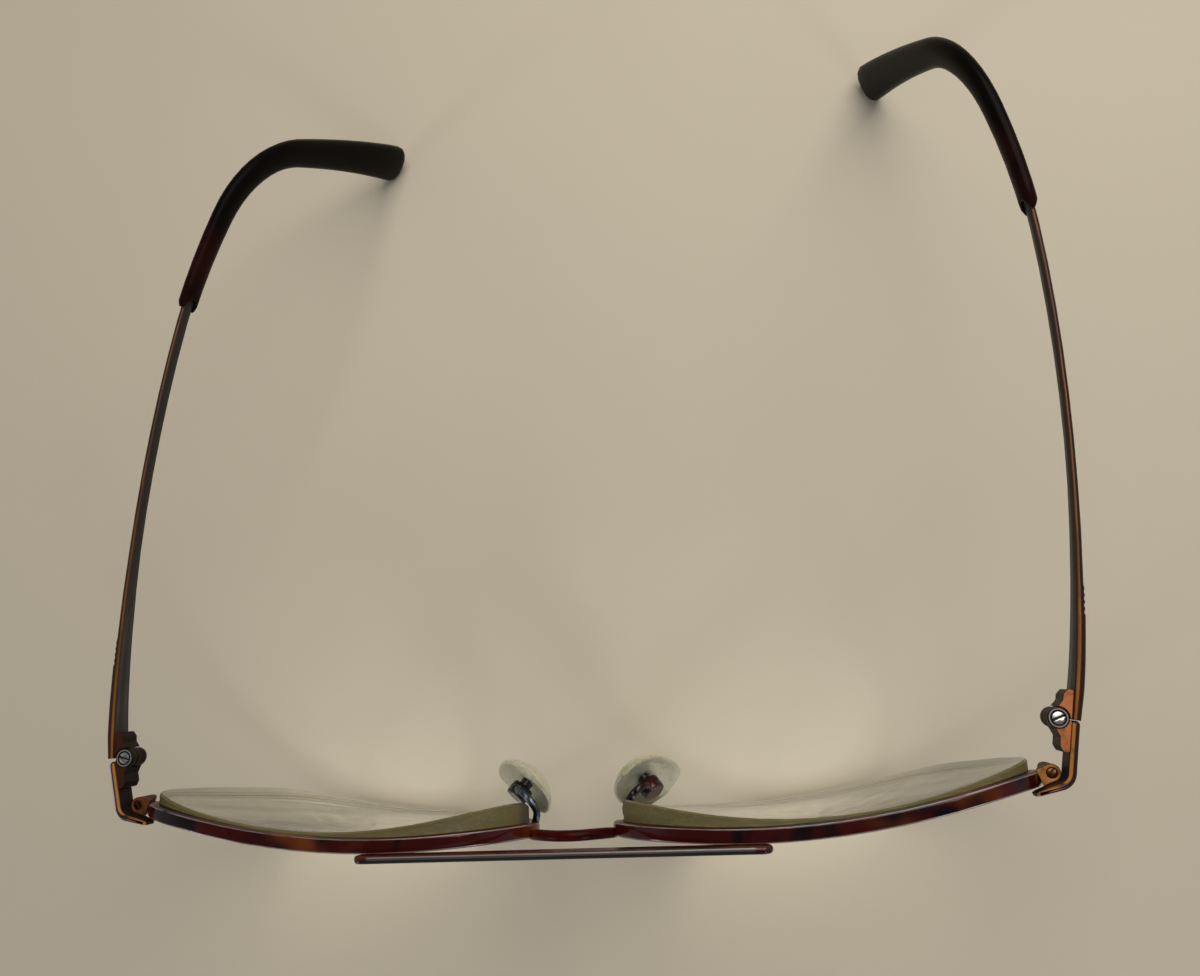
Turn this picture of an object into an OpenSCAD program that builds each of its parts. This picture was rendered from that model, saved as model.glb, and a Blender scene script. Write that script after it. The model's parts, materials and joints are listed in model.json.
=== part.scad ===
// Metal spectacle frame with a double bridge, clear lenses, silicone nose pads and sleeved temples.
// Millimetres. +X is the wearer's left, +Y runs from the front back to the ears, +Z is up.
// The frame stands on its lower rims and on the ends of its temples, at z = 0.

/* [Lenses] */
// Width of each lens, boxed
lens_w = 53.2; // [47:0.2:58]
// Height of each lens, boxed
lens_h = 36.4; // [32:0.2:42]
// Least distance between the lenses
lens_gap = 13.8; // [11:0.2:18]
// Radius of the lens's bulging front
front_radius = 105; // [95:1:140]
// Radius of the lens's hollow back, from side to side
back_radius = 68; // [60:1:78]
// Radius of the lens's hollow back, from top to bottom
back_radius_up = 96; // [84:1:110]
// Thinning of the lens's edge at the top by the temple and at the bottom by the nose
back_twist = 1.1; // [0:0.1:1.4]
// Thickness of the lens at its middle
lens_t = 2.3; // [2:0.1:3.2]
// Angle by which each lens turns back towards its temple
face_form = 5; // [2:0.5:8]
// Angle by which the front leans, its foot forwards
front_lean = 1.8; // [0:0.1:3]
// Height of the V-shaped bevel round the lens
bevel_h = 0.6; // [0.4:0.05:0.7]
// Width of the bevel at its foot
bevel_w = 1; // [0.8:0.1:1.2]
// Distance from the lens's front edge to the bevel's ridge
bevel_back = 1; // [0.8:0.05:1.2]

/* [Rims] */
// Depth of the rim wire, front to back
rim_depth = 2; // [1.8:0.1:2.4]
// Height of the rim wire, from the lens outwards
rim_h = 1.4; // [1.25:0.05:1.8]
// Radius that softens the rim wire's edges
rim_round = 0.4; // [0.2:0.05:0.5]
// Clearance between the lens and its groove
seat_play = 0.06; // [0.04:0.01:0.09]

/* [Closing blocks] */
// Height of each half of the closing block
block_h = 1.8; // [1.5:0.1:2.4]
// Radius of the block's rounded end
block_r = 1.1; // [1:0.05:1.25]
// Gap between the two halves, which the lock screw draws shut
block_gap = 0.16; // [0.1:0.02:0.3]
// Distance from the rim wire to the lock screw
lock_out = 0.85; // [0.8:0.05:1]
// Radius of the lock screw
lock_r = 0.42; // [0.35:0.01:0.48]
// Radius of the lock screw's head
lock_head_r = 0.6; // [0.56:0.02:0.7]
// Height of the lock screw's head
lock_head_h = 0.45; // [0.3:0.05:0.6]
// Depth of the lock screw's head below the block's top
lock_sink = 0.05; // [0.05:0.05:0.3]

/* [Endpieces] */
// Thickness of the endpiece strip
strip_t = 1.05; // [0.9:0.05:1.2]
// Thickness of the strip where it crosses the closing block's front
lap_t = 0.6; // [0.5:0.05:0.85]
// Height of the endpiece strip
strip_h = 3.5; // [3.3:0.1:4.4]
// Clearance between the closing block's round end and the endpiece strip
strip_play = 0.25; // [0.1:0.05:0.35]
// Reach of the strip inwards past the lock screw, across the closing block's front
strip_lap = 3.3; // [2.4:0.1:3.6]
// Height lost by the strip's lower edge towards that end
strip_taper = 1.2; // [0.6:0.1:1.4]
// Height of the hinge's middle above the rim's split
hinge_rise = 2.1; // [1.8:0.1:2.4]

/* [Hinges] */
// Distance along the endpiece from the lock screw back to the hinge axis
hinge_run = 6.8; // [6.4:0.1:9]
// Radius of the hinge barrel
barrel_r = 1.3; // [1.25:0.05:1.5]
// Height of each of the three knuckles
knuckle_h = 1.15; // [1.05:0.05:1.25]
// Gap between knuckles
knuckle_play = 0.05; // [0.03:0.01:0.1]
// Radius of the hinge screw
pin_r = 0.5; // [0.42:0.02:0.56]
// Clearance round the hinge screw
pin_play = 0.04; // [0.02:0.01:0.08]
// Radius of the hinge screw's head
head_r = 0.78; // [0.7:0.02:0.88]
// Height of the hinge screw's head
head_h = 0.5; // [0.35:0.05:0.6]
// Length of each hinge leaf, from the axis
leaf_l = 4; // [3.5:0.1:4.6]
// Length that the rear leaf is shorter than the front one
rear_less = 0.35; // [0:0.05:0.6]
// Thickness of each hinge leaf
leaf_t = 1.2; // [1.1:0.05:1.35]
// Radius that softens the corners of the hinge leaves
leaf_round = 0.25; // [0.1:0.05:0.35]
// Gap between the endpiece and the temple when fully open
butt_gap = 0.1; // [0.06:0.02:0.2]

/* [Temples] */
// Length along the temple from the hinge to the start of the ear bend
temple_run = 84; // [76:1:96]
// Angle that the hinge and a fully open temple splay outwards from straight back
splay = 11.4; // [8:0.2:14]
// Turn of the temple back inwards, in degrees for each millimetre
bow = 0.224; // [0.19:0.002:0.25]
// Turn of the temple inwards just behind its hinge leaf
root_turn = 1.7; // [0:0.1:2.5]
// Rise of the temple from the hinge to the ear bend, in degrees
rise = 1.1; // [0:0.1:2]
// Height of the temple strip where the sleeve starts
temple_h = 2; // [1.7:0.1:2.6]
// Thickness of the temple strip where the sleeve starts
temple_t = 0.8; // [0.7:0.05:1]
// Extra thickness of the outer face along the temple's root
root_swell = 0.2; // [0.15:0.05:0.4]
// Length of the thickened root
root_l = 13; // [10:0.5:16]
// Number of scallops that end the thickened root
scallops = 5; // [3:1:6]
// Angle by which the right temple is folded in at rest
right_fold = 10.6; // [0:0.1:15]

/* [Temple tips] */
// Distance from the hinge to the mouth of the sleeve
sleeve_at = 68; // [62:1:72]
// Radius of the ear bend
ear_radius = 19.7; // [17:0.1:26]
// Angle that the ear bend turns down
ear_angle = 60; // [50:1:64]
// Extra inward turn of the sleeve
tip_sweep = 7; // [0:0.5:12]
// Height of the sleeve's broad end
tip_h = 6.8; // [5.6:0.1:7.6]
// Thickness of the sleeve's broad end
tip_t = 3.4; // [2.8:0.1:4]
// Wall of the sleeve at its mouth
sleeve_wall = 0.7; // [0.5:0.05:0.8]
// Depth of the V notch in the sleeve's mouth
notch = 1.8; // [0.8:0.2:2.4]
// Clearance of the metal core in the sleeve
core_play = 0.05; // [0.03:0.01:0.1]

/* [Bridges] */
// Length of the straight brow bar
bar_l = 54.2; // [50:0.2:60]
// Height of the brow bar
bar_h = 2.6; // [2.2:0.1:3]
// Depth of the brow bar
bar_d = 1; // [0.9:0.05:1.3]
// Height of the brow bar's top above the tops of the rims
bar_rise = 2.1; // [1.6:0.1:2.4]
// Height of the lower bridge's ends above the lens's middle
bridge_z = 8.7; // [6:0.1:10]
// Rise of the lower bridge in the middle
bridge_arch = 4.4; // [2:0.1:5]
// Depth of the lower bridge
bridge_d = 1.5; // [1.2:0.05:1.8]
// Height of the lower bridge
bridge_h = 1.5; // [1.2:0.05:1.8]

/* [Nose pads] */
// Distance from the middle of the nose to the pad's pivot
pad_x = 10; // [9.4:0.1:11]
// Distance of the pad's pivot behind the lens's middle
pad_y = 5.5; // [5:0.1:7]
// Height of the pad's pivot above the lens's middle, negative is below
pad_z = -1; // [-4:0.1:2]
// Turn of the pad's face away from straight back
pad_splay = 50; // [36:1:56]
// Tilt of the pad's face, with its foot turned outwards
pad_tilt = 24; // [10:1:28]
// Height of the pad
pad_h = 15; // [12:0.5:15.5]
// Width of the pad
pad_w = 9.8; // [8:0.2:11]
// Thickness of the pad
pad_t = 2; // [1.6:0.1:2.4]
// Length of bare stem between the box and the pad
pad_stem = 0.5; // [0.2:0.1:0.8]
// Bow of the pad, edges turned away from the nose
pad_bow = 1.8; // [0.8:0.1:2]
// Radius of the metal box that holds the pad
box_r = 1.7; // [1.6:0.05:1.9]
// Depth of the box
box_d = 2; // [1.8:0.1:2.4]
// Wall of the box
box_wall = 0.35; // [0.3:0.05:0.4]
// Radius of the pad's pivot screw
pad_pin_r = 0.3; // [0.25:0.01:0.4]
// Radius of the pad arm's wire
arm_r = 0.55; // [0.45:0.05:0.65]

/* [Hidden] */

// Outline of the left lens in shares of its half width and half height, from the rim's
// split on the temple side, over the top to the nose and back below.
lens_shape = [[0.985, 0.733], [0.86, 0.91], [0.6, 0.98], [0.1, 1], [-0.4, 0.985], [-0.74, 0.9],
    [-0.945, 0.67], [-0.995, 0.36], [-0.9, -0.15], [-0.715, -0.66], [-0.4, -0.93], [0, -1],
    [0.42, -0.93], [0.74, -0.66], [0.93, -0.13], [1, 0.36]];
span_steps = 4;
edge_ts = [for (i = [0 : len(lens_shape) * span_steps - 1]) i / span_steps];
curve_fn = 48;

// Places that follow from the lens
lens_x = lens_gap / 2 + lens_w / 2;
lens_z = rim_h + seat_play - min([for (t = edge_ts) edge(t)[1]]);
split = [lens_shape[0][0] * lens_w / 2, lens_shape[0][1] * lens_h / 2];
split_z = lens_z + split[1];
rim_top = lens_z + lens_h / 2 + seat_play + rim_h;

// Slope of the front surface at the split, and the lock screw's place
edge_turn = atan(tan(face_form) + split[0] / front_radius);
rim_out = split[0] + (seat_play + rim_h) / outwards(0)[0];
rim_lean = outwards(0)[1] / outwards(0)[0];
lock = [lens_x + rim_out + lock_out * cos(edge_turn), wrap(split) + (rim_h + lock_out) * sin(edge_turn)];
lock_play = 0.03;

// Plan of the hinge, seen with the endpiece running straight back: the lock screw lies beside the
// strip, which clears the block's round end, and the axis lies a barrel's radius from the strip
function spin(v) = [v[0] * cos(splay) + v[1] * sin(splay), v[1] * cos(splay) - v[0] * sin(splay)];
function unspin(v) = [v[0] * cos(splay) - v[1] * sin(splay), v[1] * cos(splay) + v[0] * sin(splay)];
barrel_gap = 0.28;
leaf_face = barrel_r + barrel_gap;
lock_from_axis = [leaf_face - block_r - strip_play, -hinge_run];
pivot_xy = lock - spin(lock_from_axis);
axis = [pivot_xy[0], pivot_xy[1], split_z + hinge_rise];
strip_in = axis[0] + leaf_face;
strip_mid = strip_in + strip_t / 2;
hinge_h = 3 * knuckle_h;

// Brow bar: its back face is soldered to the fronts of the rims near its ends
solder = 0.12;
bar_seat = [bar_l / 2 - 4 - lens_x, lens_h / 2];
bar_back = wrap(bar_seat) - rim_depth / 2 + solder;

// Way of the rim wire's middle line behind its middle: the front's bulge, turn and lean
function wrap(p) = p[0] * tan(face_form) + lean(p[1]) + sag(p, front_radius);
function lean(z) = (z - split[1]) * tan(front_lean);
function sag(p, r) = r - sqrt(r * r - p[0] * p[0] - p[1] * p[1]);

// Smooth closed curve through the outline's points
function blend(a, b, c, d, t) = 0.5 * ((2 * b) + (c - a) * t + (2 * a - 5 * b + 4 * c - d) * t * t
    + (3 * b - a - 3 * c + d) * t * t * t);
function shape_at(i) = lens_shape[(i + len(lens_shape)) % len(lens_shape)];
function edge(t) = let (i = floor(t), p = blend(shape_at(i - 1), shape_at(i), shape_at(i + 1),
    shape_at(i + 2), t - i)) [p[0] * lens_w / 2, p[1] * lens_h / 2];
function unit(v) = v / norm(v);
function outwards(t) = let (d = unit(edge(t + 0.02) - edge(t + len(lens_shape) - 0.02))) [d[1], -d[0]];

// Point on the left lens or rim: r outwards from the lens's edge, y behind the rim's middle line
function rim_point(t, r, y) = let (e = edge(t), p = e - outwards(t) * r)
    [lens_x + p[0], wrap(e) + y, lens_z + p[1]];

// Closed skin over rings of points: a ring joins the next, and the ends are capped or joined
module skin(rings, loop = false) {
    n = len(rings[0]);
    m = len(rings);
    polyhedron(
        points = [for (r = rings) for (p = r) p],
        faces = concat(
            [for (i = [0 : m - (loop ? 1 : 2)]) for (j = [0 : n - 1])
                let (a = i * n, b = ((i + 1) % m) * n, k = (j + 1) % n) [a + j, a + k, b + k]],
            [for (i = [0 : m - (loop ? 1 : 2)]) for (j = [0 : n - 1])
                let (a = i * n, b = ((i + 1) % m) * n, k = (j + 1) % n) [a + j, b + k, b + j]],
            loop ? [] : [[for (j = [n - 1 : -1 : 0]) j], [for (j = [0 : n - 1]) (m - 1) * n + j]]),
        convexity = 6);
}

// Sides: the left is drawn and the right is its mirror image
module right_side() {
    mirror([1, 0, 0]) children();
}
module turned(angle) {
    translate([axis[0], axis[1], 0]) rotate([0, 0, angle - splay]) translate([-axis[0], -axis[1], 0]) children();
}

// Lens: bulging front, hollow back and a bevel round the edge
lens_shares = [1, 0.82, 0.6, 0.36, 0.12];
function lens_ring(share, back) = [for (t = edge_ts) let (p = edge(t) * share)
    [lens_x + p[0], back ? back_y(p) : wrap(p) - bevel_back, lens_z + p[1]]];
function back_y(p) = p[0] * tan(face_form) + lean(p[1]) + sag([p[0], 0], back_radius)
    + sag([0, p[1]], back_radius_up) - back_twist * p[0] * p[1] * 4 / (lens_w * lens_h) + lens_t - bevel_back;
module lens() {
    half = bevel_w / 2;
    front = [for (k = [len(lens_shares) - 1 : -1 : 0]) lens_ring(lens_shares[k], false)];
    back = [for (k = [0 : len(lens_shares) - 1]) lens_ring(lens_shares[k], true)];
    bevel = [for (b = [[0, -half], [-bevel_h, 0], [0, half]]) [for (t = edge_ts) rim_point(t, b[0], b[1])]];
    color("#dfe6dc", 0.35) skin(concat(front, bevel, back));
}

// Rim wire: a grooved section carried round the lens and split at the closing block
function rim_section() =
    let (a = seat_play, b = a + rim_h, h = rim_depth / 2, g = bevel_w / 2 + seat_play, q = rim_round * 0.3)
    [[a, -g], [a + bevel_h + seat_play, 0], [a, g], [a, h - q], [a + q, h], [b - rim_round, h],
     [b - q, h - q], [b, h - rim_round], [b, rim_round - h], [b - q, q - h], [b - rim_round, -h],
     [a + q, -h], [a, q - h]];
module rim() {
    color("#5a1a14") difference() {
        skin([for (t = edge_ts) [for (p = rim_section()) rim_point(t, -p[0], p[1])]], true);
        translate([lens_x + split[0] - 2, wrap(split) - rim_depth, split_z - block_gap / 2])
            cube([rim_h + 4, rim_depth * 2, block_gap]);
    }
}

// Closing block: two halves soldered to the rim's ends, drawn together by the lock screw
module at_lock(z) {
    translate([lock[0], lock[1], z]) rotate([0, 0, edge_turn]) children();
}
module block_half(low) {
    reach_in = lock_out + solder;
    room = reach_in + 2 * block_h * rim_lean;
    difference() {
        union() {
            cylinder(r = block_r, h = block_h, $fn = curve_fn);
            translate([-room, -block_r, 0]) cube([room, 2 * block_r, block_h]);
        }
        translate([-reach_in - low * rim_lean, 0, 0]) rotate([0, -atan(rim_lean), 0])
            translate([-room, -block_r - 1, -block_h]) cube([room, 2 * block_r + 2, 3 * block_h]);
    }
}
module closing_block_upper() {
    color("#b5622d") at_lock(split_z + block_gap / 2) difference() {
        block_half(block_gap / 2);
        translate([0, 0, -1]) cylinder(r = lock_r + lock_play, h = block_h + 2, $fn = curve_fn);
        translate([0, 0, block_h - lock_head_h - lock_sink])
            cylinder(r = lock_head_r + lock_play, h = block_h, $fn = curve_fn);
    }
}
module closing_block_lower() {
    color("#9c4a25") at_lock(split_z - block_gap / 2 - block_h) difference() {
        block_half(-block_h);
        translate([0, 0, -1]) cylinder(r = lock_r + lock_play, h = block_h + 2, $fn = curve_fn);
    }
}

// Slotted screw standing on z = 0, with its head at the top
module slotted_screw(r, h, cap_r, cap_h, slot_turn) {
    slot_w = cap_r * 0.34;
    difference() {
        union() {
            cylinder(r = r, h = h, $fn = curve_fn);
            translate([0, 0, h - cap_h]) cylinder(r = cap_r, h = cap_h, $fn = curve_fn);
        }
        rotate([0, 0, slot_turn]) translate([-cap_r - 1, -slot_w / 2, h - cap_h / 2])
            cube([2 * cap_r + 2, slot_w, cap_h]);
    }
}
module lock_screw() {
    low = 2 * block_h + block_gap;
    color("#8a7a6a") at_lock(split_z - block_gap / 2 - block_h)
        slotted_screw(lock_r, low - lock_sink, lock_head_r, lock_head_h, 40);
}

// Endpiece: a strip that laps the block's front, bends round the corner and runs back to the
// hinge. It is drawn with its hinge end straight back, like the hinge and the temple.
lap_turn = edge_turn + splay;
lap_dir = [cos(lap_turn), sin(lap_turn)];
lap_out = [sin(lap_turn), -cos(lap_turn)];
lock_seen = pivot_xy + lock_from_axis;
lap_in = lock_seen + lap_out * block_r;
bend_r = block_r + strip_play;
bend_mid = let (x = strip_in - bend_r) [x, lap_in[1] - (bend_r + (x - lap_in[0]) * lap_out[0]) / lap_out[1]];
function bend_edge(out) = [for (k = [0 : 10]) let (a = lap_turn - 90 + k * (90 - lap_turn) / 10,
    r = bend_r + out * mix(lap_t, strip_t, 0.8 + k / 50)) bend_mid + r * [cos(a), sin(a)]];
function strip_edge(out) = concat([lap_in + lap_out * out * lap_t - lap_dir * strip_lap], bend_edge(out),
    [[strip_in + out * strip_t, axis[1] - butt_gap / 2]]);
module endpiece() {
    inner = strip_edge(0);
    color("#a8592a") difference() {
        translate([0, 0, axis[2] - strip_h / 2]) linear_extrude(strip_h)
            polygon(concat(strip_edge(1), [for (k = [len(inner) - 1 : -1 : 0]) inner[k]]));
        translate([lap_in[0], lap_in[1], axis[2] - strip_h / 2]) rotate([0, 0, lap_turn])
            translate([-strip_lap, 0, strip_taper]) rotate([0, atan(strip_taper / (strip_lap + 1)), 0])
            translate([-4, -3, -4]) cube([12, 6, 4]);
    }
}

// Hinge: leaves on both sides of the axis, and three knuckles that share one screw
module leaf_plate(way) {
    s = leaf_face;
    l = leaf_l - (way > 0 ? rear_less : 0);
    linear_extrude(hinge_h) offset(r = leaf_round, $fn = curve_fn) offset(delta = -leaf_round)
        polygon([[s, way * l], [s - leaf_t * 0.6, way * l], [s - leaf_t, way * (l - 0.7)],
            [s - leaf_t, way * 2.2], [-0.3, way * (barrel_r - 0.1)], [-0.3, way * butt_gap / 2],
            [s, way * butt_gap / 2]]);
}
module knuckle(level, inset) {
    translate([0, 0, level * knuckle_h + inset]) cylinder(r = barrel_r, h = knuckle_h - inset, $fn = curve_fn);
}
module swept_room(level) {
    translate([0, 0, level * knuckle_h - knuckle_play]) cylinder(r = barrel_r + 0.1,
        h = knuckle_h + 2 * knuckle_play, $fn = curve_fn);
}
module pin_hole(r) {
    translate([0, 0, -1]) cylinder(r = r, h = hinge_h + 2, $fn = curve_fn);
}
module at_hinge() {
    translate([axis[0], axis[1], axis[2] - hinge_h / 2]) children();
}
module hinge_front() {
    color("#a8592a") at_hinge() difference() {
        union() {
            leaf_plate(-1);
            knuckle(0, 0);
            knuckle(2, 0);
        }
        swept_room(1);
        pin_hole(pin_r + pin_play);
        translate([0, 0, hinge_h - head_h]) cylinder(r = head_r + pin_play, h = 2, $fn = curve_fn);
    }
}
module hinge_rear() {
    color("#b5622d") at_hinge() difference() {
        union() {
            difference() {
                leaf_plate(1);
                for (level = [0, 2]) swept_room(level);
            }
            translate([0, 0, knuckle_h + knuckle_play])
                cylinder(r = barrel_r, h = knuckle_h - 2 * knuckle_play, $fn = curve_fn);
        }
        pin_hole(pin_r + pin_play);
    }
}
module hinge_screw() {
    color("#c9c9c6") at_hinge() slotted_screw(pin_r, hinge_h, head_r, head_h, 20);
}

// Way of the left temple, drawn straight back from the hinge: a slow turn inwards, then the ear
// bend, and on down to the table. Its points lie one millimetre apart.
bend_end = temple_run + ear_radius * ear_angle * PI / 180;
end_round = 2.2;
function clamp(v) = min(1, max(0, v));
function yaw(s) = bow * max(0, s - leaf_l) + root_turn * clamp((s - leaf_l) / 6)
    + tip_sweep * clamp((s - sleeve_at + 5) / 20);
function dip(s) = min(ear_angle, max(0, s - temple_run) / ear_radius * 180 / PI)
    + 0.22 * max(0, s - bend_end) - rise;
function along(s) = [-sin(yaw(s)) * cos(dip(s)), cos(yaw(s)) * cos(dip(s)), -sin(dip(s))];
function across(s) = [cos(yaw(s)), sin(yaw(s)), 0];
temple_way = [for (i = 0, p = [strip_mid, axis[1] + butt_gap / 2, axis[2]]; p[2] > 0;
    p = p + along(i + 0.5), i = i + 1) p];
function at(s) = let (i = min(len(temple_way) - 2, floor(s)))
    temple_way[i] + (temple_way[i + 1] - temple_way[i]) * (s - i);

// The sleeve's round end touches the table: its middle stands this high
end_dip = dip(len(temple_way) - 3);
end_up = sqrt(pow(end_round * sin(end_dip), 2) + pow(tip_h / 2 * cos(end_dip), 2));
last_up = len([for (p = temple_way) if (p[2] > end_up) p]) - 1;
tip_end = last_up + (temple_way[last_up][2] - end_up)
    / (temple_way[last_up][2] - temple_way[last_up + 1][2]) + end_round;

// Ring round the way at s, from points given as shares outwards and upwards
function ring(s, section) = let (c = at(s), n = across(s), h = cross(n, along(s)))
    [for (k = [len(section) - 1 : -1 : 0]) c + n * section[k][0] + h * section[k][1]];
function mix(a, b, t) = a + (b - a) * clamp(t);
function bar_section(t_in, t_out, h, cut) = [[-t_in, cut - h], [-t_in, h - cut], [cut - t_in, h],
    [t_out - cut, h], [t_out, h - cut], [t_out, cut - h], [t_out - cut, -h], [cut - t_in, -h]];

// Temple strip, tall at the hinge, with a thickened root that ends in scallops
scallop_l = 0.85;
function swell(s) = let (k = (s - root_l) / scallop_l)
    k < 0 ? root_swell * mix(0.2, 1, s / 4) : k < scallops ? root_swell * (1 - 0.75 * abs(sin(180 * k))) * (1 - k / scallops / 2) : 0;
function strip_half(s) = mix(strip_t, temple_t, (s - 6) / 30) / 2;
function strip_rise(s) = mix(strip_h, temple_h, pow(clamp((s - 3) / 28), 0.7)) / 2;
temple_stations = concat([0, 1.5, 3, leaf_l, 5.5, 6.5, 7.5, 8.5, 10.5, root_l - 0.1],
    [for (k = [0 : 0.5 : scallops]) root_l + k * scallop_l], [root_l + scallops * scallop_l + 0.4],
    [for (s = [24 : 6 : sleeve_at - 2]) s],
    [sleeve_at, sleeve_at + 4], [for (s = [sleeve_at + 8 : 4 : tip_end - 12]) s]);
function core_in(s) = s > sleeve_at + notch + 1;
module temple() {
    color("#4a3a30") skin([for (s = temple_stations) ring(s, bar_section(strip_half(s),
        strip_half(s) + swell(s), strip_rise(s) , min(0.25, strip_half(s) * 0.6)))]);
}

// Sleeve of the temple tip: slim at its mouth, broad at its end, over the temple's core
sleeve_sides = 14;
function sleeve_half_t(s) = let (m = temple_t / 2 + sleeve_wall, k = (s - sleeve_at) / (tip_end - sleeve_at))
    mix(m, tip_t / 2, pow(k, 1.2) * 1.1);
function sleeve_half_h(s) = let (m = temple_h / 2 + sleeve_wall, k = (s - sleeve_at) / (tip_end - sleeve_at))
    mix(m, tip_h / 2, pow(k, 1.8) * 1.1);
function end_share(s) = let (k = clamp((s - tip_end + end_round) / end_round)) sqrt(1 - k * k);
function soft(v) = sign(v) * pow(abs(v), 0.85);
function sleeve_section(s) = [for (j = [0 : sleeve_sides - 1]) let (a = -j * 360 / sleeve_sides)
    [soft(cos(a)) * sleeve_half_t(s), soft(sin(a)) * sleeve_half_h(s)] * max(0.12, end_share(s))];
sleeve_stations = concat([for (s = [sleeve_at : 4 : temple_run]) s],
    [for (s = [temple_run + 2 : 2 : tip_end - end_round - 1]) s],
    [for (k = [1, 0.7, 0.4, 0.18]) tip_end - end_round * k], [tip_end - 0.05]);
function sleeve_rings() = concat([mouth_ring(0, 0.84), mouth_ring(0.35, 1)],
    [for (s = sleeve_stations) if (s > sleeve_at + notch + 0.5) ring(s, sleeve_section(s))]);
function mouth_ring(on, share) = [for (k = [0 : sleeve_sides - 1])
    let (s = sleeve_at + on + notch * pow(cos((k + 1) * 360 / sleeve_sides), 2))
        ring(s, sleeve_section(sleeve_at) * share)[k]];
module temple_tip() {
    core_ts = concat([sleeve_at - 3], [for (s = temple_stations) if (s >= sleeve_at) s]);
    grow = [for (s = core_ts) [strip_half(s) + core_play, strip_rise(s) + core_play]];
    color("#2a1d18") difference() {
        skin(sleeve_rings());
        skin([for (k = [0 : len(core_ts) - 1]) let (s = core_ts[k], last = k == len(core_ts) - 1)
            ring(s + (last ? 0.3 : 0), bar_section(grow[k][0], grow[k][0], grow[k][1], 0.2))]);
    }
}

// Box of the whole frame in plan, which centres it on the origin
lens_front = lean(0) - bevel_back - (pow(tan(face_form), 2) + pow(tan(front_lean), 2)) * front_radius / 2;
function spun(p) = pivot_xy + spin([p[0], p[1]] - pivot_xy);
reach = max([for (r = sleeve_rings()) for (p = r) spun(p)[1]]);
corner = max([for (p = strip_edge(1)) spun(p)[0]]);
widest = max([for (s = [0 : 2 : sleeve_at]) spun(at(s))[0] + temple_t / 2]);
middle = [(widest - corner) / 2, (reach + lens_front) / 2];
module placed() {
    translate([-middle[0], -middle[1], 0]) children();
}

// Brow bar: straight and flat, with rounded ends
module brow_bar() {
    color("#4d1712") translate([0, bar_back, rim_top + bar_rise - bar_h / 2]) rotate([90, 0, 0])
        linear_extrude(bar_d) union() {
            square([bar_l - bar_h, bar_h], center = true);
            for (s = [-1, 1]) translate([s * (bar_l - bar_h) / 2, 0]) circle(d = bar_h, $fn = curve_fn);
        }
}

// Lower bridge: a soft-edged strip that arches from rim to rim
bridge_sides = 12;
bridge_seat = [-lens_w / 2, bridge_z];
bridge_lap = 0.7;
bridge_end = lens_gap / 2 - seat_play - rim_h + bridge_lap;
function bridge_line(k) = [k * bridge_end, wrap(bridge_seat) - (rim_depth - bridge_d) / 2 - 0.35 * pow(k, 4),
    lens_z + bridge_z + bridge_arch * (1 - pow(abs(k), 2.2))];
function bridge_ring(k) = let (d = unit(bridge_line(k + 0.02) - bridge_line(k - 0.02)), up = [-d[2], 0, d[0]])
    [for (j = [0 : bridge_sides - 1]) let (a = j * 360 / bridge_sides, r = 1 - 0.3 * pow(k, 16))
        bridge_line(k) + [0, 1, 0] * soft(cos(a)) * r * bridge_d / 2 - up * soft(sin(a)) * r * bridge_h / 2];
module bridge() {
    color("#5a1a14") skin([for (i = [-10 : 10]) bridge_ring(i / 10)]);
}

// Nose pads: each rocks on a screw in its box, at the end of a wire arm
pivot = [pad_x, pad_y, lens_z + pad_z];
pad_rock = 8;
pad_out = box_d / 2 + pad_stem + pad_bow * (pow(2 * box_r / pad_w, 2) + pow(2 * box_r / pad_h, 2))
    + box_r * sin(pad_rock) + 0.06;
pad_face = [-cos(pad_splay) * cos(pad_tilt), sin(pad_splay) * cos(pad_tilt), -sin(pad_tilt)];
pad_top = [-cos(pad_splay) * sin(pad_tilt), sin(pad_splay) * sin(pad_tilt), cos(pad_tilt)];
module at_pad() {
    translate(pivot) rotate([0, 0, 180 - pad_splay]) rotate([0, pad_tilt, 0]) children();
}
module pad_box() {
    color("#3b1512") at_pad() difference() {
        translate([-box_d / 2, 0, 0]) rotate([0, 90, 0]) cylinder(r = box_r, h = box_d, $fn = curve_fn);
        translate([-box_d / 2 + box_wall, 0, 0]) rotate([0, 90, 0])
            cylinder(r = box_r - box_wall, h = box_d, $fn = curve_fn);
        pad_pin_hole(pad_pin_r + 0.02);
    }
}
module pad_pin_hole(r) {
    rotate([90, 0, 0]) cylinder(r = r, h = 2 * box_r + 2, center = true, $fn = curve_fn);
}
module pad_screw() {
    color("#c9c9c6") at_pad() rotate([90, 0, 0])
        cylinder(r = pad_pin_r, h = 2 * box_r - 0.1, center = true, $fn = curve_fn);
}
stud_r = box_r - box_wall - 0.4;
stud_back = 0.25;
plate_r = 1.5;
plate_t = 0.6;
module pad_stud() {
    color("#8f8f88") at_pad() difference() {
        union() {
            translate([-stud_back, 0, 0]) rotate([0, 90, 0]) cylinder(r = stud_r, h = stud_back + pad_out + 0.1, $fn = curve_fn);
            pad_pocket(0);
        }
        pad_pin_hole(pad_pin_r + 0.05);
    }
}
module pad_pocket(play) {
    translate([pad_out + 0.05, 0, 0]) rotate([0, 90, 0]) cylinder(r = plate_r + play, h = plate_t + play, $fn = curve_fn);
}
pad_sides = 16;
function pad_ring(k) = let (z = k * pad_h / 2, w = pad_w / 2 * sqrt(1 - pow(abs(k), 2.6)) * (1 - 0.12 * k),
    t = pad_t / 2 * (1 - 0.45 * k * k))
    [for (j = [0 : pad_sides - 1]) let (a = j * 360 / pad_sides, y = w * soft(cos(a)))
        [pad_out + pad_t / 2 + t * soft(sin(a)) - pad_bow * (pow(y / (pad_w / 2), 2) + k * k), y, z]];
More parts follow.
